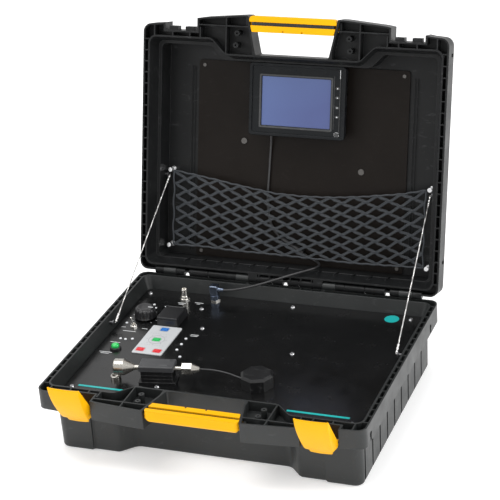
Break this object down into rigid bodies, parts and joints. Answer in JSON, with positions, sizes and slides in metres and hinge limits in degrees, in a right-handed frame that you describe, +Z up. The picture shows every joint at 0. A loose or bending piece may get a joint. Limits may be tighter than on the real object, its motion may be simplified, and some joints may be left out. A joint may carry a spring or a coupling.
{
  "type": "portable probe and monitor case",
  "caption": "Hard case with hinged lid, latches and folding-shut handle halves, holding a control panel, a small probe head on a lead and a video monitor.",
  "frame": {"origin": "centre of the case's underside, on the surface it stands on", "axes": "+X to the right seen from the front, +Y to the back where the open lid leans, +Z up"},
  "size_m": [0.48, 0.5671, 0.4994],
  "materials": {
    "case_plastic": "fine moulded grain",
    "yellow_plastic": "satin",
    "steel": "zinc plated",
    "screw_steel": "bright zinc",
    "panel_black": "satin powder coat",
    "teal_print": "screen print",
    "keypad_grey": "membrane film",
    "key_blue": "satin",
    "key_green": "satin",
    "key_red": "satin",
    "button_green": "gloss",
    "black_plastic": "satin",
    "knob_black": "semi gloss",
    "nickel": "nickel plated",
    "connector_blue_grey": "dull plated",
    "led_white": "diffused lens",
    "stainless": "turned and polished",
    "clip_grey": "satin",
    "rubber_black": "satin",
    "battery_grey": "satin",
    "board_green": "solder mask",
    "brass": "machined",
    "liner_black": "satin sheet",
    "screw_dark": "satin",
    "monitor_black": "satin",
    "screen_glass": "anti-glare panel",
    "monitor_key": "satin",
    "elastic_cord": "braided elastic",
    "hook_steel": "plated",
    "steel_rope": "stranded",
    "lead_metal": "braided",
    "cable_black": "jacket"
  },
  "bodies": {
    "base": {"base_shell": "case_plastic", "base_handle_half": "yellow_plastic", "hinge_pins": "steel", "latch_pins": "steel", "control_panel": "panel_black", "panel_screws": "screw_steel", "panel_trim": "teal_print", "keypad_plate": "keypad_grey", "push_button_bezel": "black_plastic", "toggle_body": "nickel", "dimmer_control": "black_plastic", "aux_socket": "black_plastic", "video_out_jack": "nickel", "video_in_jack": "nickel", "video_in_plug": "connector_blue_grey", "status_leds": "led_white", "probe_body": "stainless", "probe_nut": "stainless", "probe_clip_base": "black_plastic", "probe_clip_cap": "clip_grey", "clip_screws": "screw_steel", "lead_gland": "black_plastic", "probe_rest_cup": "rubber_black", "battery_pack": "battery_grey", "battery_strap": "steel", "control_board": "board_green", "board_standoffs": "brass", "stay_anchors_base": "steel", "probe_lead": "lead_metal", "patch_lead": "cable_black", "stay_wire_left": "steel_rope", "stay_wire_right": "steel_rope"},
    "lid": {"lid_shell": "case_plastic", "lid_handle_half": "yellow_plastic", "liner_panel": "liner_black", "liner_screws": "screw_dark", "monitor_bracket": "steel", "monitor_housing": "monitor_black", "monitor_bezel": "monitor_black", "monitor_screen": "screen_glass", "cargo_net": "elastic_cord", "net_hooks": "hook_steel", "stay_anchors_lid": "steel", "inline_connector": "black_plastic", "monitor_lead": "cable_black"},
    "latch_left_body": {"latch_left": "yellow_plastic"},
    "latch_right_body": {"latch_right": "yellow_plastic"},
    "push_button_body": {"push_button": "button_green"},
    "toggle_lever_body": {"toggle_lever": "nickel"},
    "dimmer_knob_body": {"dimmer_knob": "knob_black"},
    "socket_flap_body": {"aux_socket_flap": "black_plastic"},
    "key_blue_body": {"keypad_key_blue": "key_blue"},
    "key_green_body": {"keypad_key_green": "key_green"},
    "key_red_left_body": {"keypad_key_red_left": "key_red"},
    "key_red_right_body": {"keypad_key_red_right": "key_red"},
    "monitor_menu_body": {"monitor_button_menu": "monitor_key"},
    "monitor_up_body": {"monitor_button_up": "monitor_key"},
    "monitor_down_body": {"monitor_button_down": "monitor_key"},
    "monitor_mode_body": {"monitor_button_mode": "monitor_key"},
    "monitor_power_body": {"monitor_power_button": "monitor_key"}
  },
  "joints": [
    {"name": "lid_hinge", "type": "hinge", "parent": "base", "child": "lid", "pos_m": [0, 0.191, 0.111], "axis": [1, 0, 0], "range_deg": [0, 105.5], "deforming": ["stay_wire_left", "stay_wire_right", "patch_lead"]},
    {"name": "latch_left_pivot", "type": "hinge", "parent": "base", "child": "latch_left_body", "pos_m": [-0.178, -0.188, 0.081], "axis": [1, 0, 0], "range_deg": [-27.5, 60]},
    {"name": "latch_right_pivot", "type": "hinge", "parent": "base", "child": "latch_right_body", "pos_m": [0.178, -0.188, 0.081], "axis": [1, 0, 0], "range_deg": [-27.5, 60]},
    {"name": "push_button_press", "type": "slide", "parent": "base", "child": "push_button_body", "axis": [0, 0, -1], "range_m": [0, 0.002], "stiffness_N_per_m": 400},
    {"name": "toggle_switch", "type": "hinge", "parent": "base", "child": "toggle_lever_body", "pos_m": [-0.195, 0.048, 0.085], "axis": [0, 1, 0], "range_deg": [0, 24]},
    {"name": "dimmer_turn", "type": "hinge", "parent": "base", "child": "dimmer_knob_body", "pos_m": [-0.189, 0.081, 0.1], "axis": [0, 0, 1], "range_deg": [-270, 0]},
    {"name": "socket_flap_hinge", "type": "hinge", "parent": "base", "child": "socket_flap_body", "pos_m": [-0.145, 0.0974, 0.0986], "axis": [-1, 0, 0], "range_deg": [0, 95]},
    {"name": "key_blue_press", "type": "slide", "parent": "base", "child": "key_blue_body", "axis": [0, 0, -1], "range_m": [0, 0.0005], "stiffness_N_per_m": 900},
    {"name": "key_green_press", "type": "slide", "parent": "base", "child": "key_green_body", "axis": [0, 0, -1], "range_m": [0, 0.0005], "stiffness_N_per_m": 900},
    {"name": "key_red_left_press", "type": "slide", "parent": "base", "child": "key_red_left_body", "axis": [0, 0, -1], "range_m": [0, 0.0005], "stiffness_N_per_m": 900},
    {"name": "key_red_right_press", "type": "slide", "parent": "base", "child": "key_red_right_body", "axis": [0, 0, -1], "range_m": [0, 0.0005], "stiffness_N_per_m": 900},
    {"name": "monitor_menu_press", "type": "slide", "parent": "lid", "child": "monitor_menu_body", "axis": [0, 0.9636, -0.2672], "range_m": [0, 0.0005], "stiffness_N_per_m": 900},
    {"name": "monitor_up_press", "type": "slide", "parent": "lid", "child": "monitor_up_body", "axis": [0, 0.9636, -0.2672], "range_m": [0, 0.0005], "stiffness_N_per_m": 900},
    {"name": "monitor_down_press", "type": "slide", "parent": "lid", "child": "monitor_down_body", "axis": [0, 0.9636, -0.2672], "range_m": [0, 0.0005], "stiffness_N_per_m": 900},
    {"name": "monitor_mode_press", "type": "slide", "parent": "lid", "child": "monitor_mode_body", "axis": [0, 0.9636, -0.2672], "range_m": [0, 0.0005], "stiffness_N_per_m": 900},
    {"name": "monitor_power_press", "type": "slide", "parent": "lid", "child": "monitor_power_body", "axis": [0, 0.9636, -0.2672], "range_m": [0, 0.0005], "stiffness_N_per_m": 900}
  ]
}
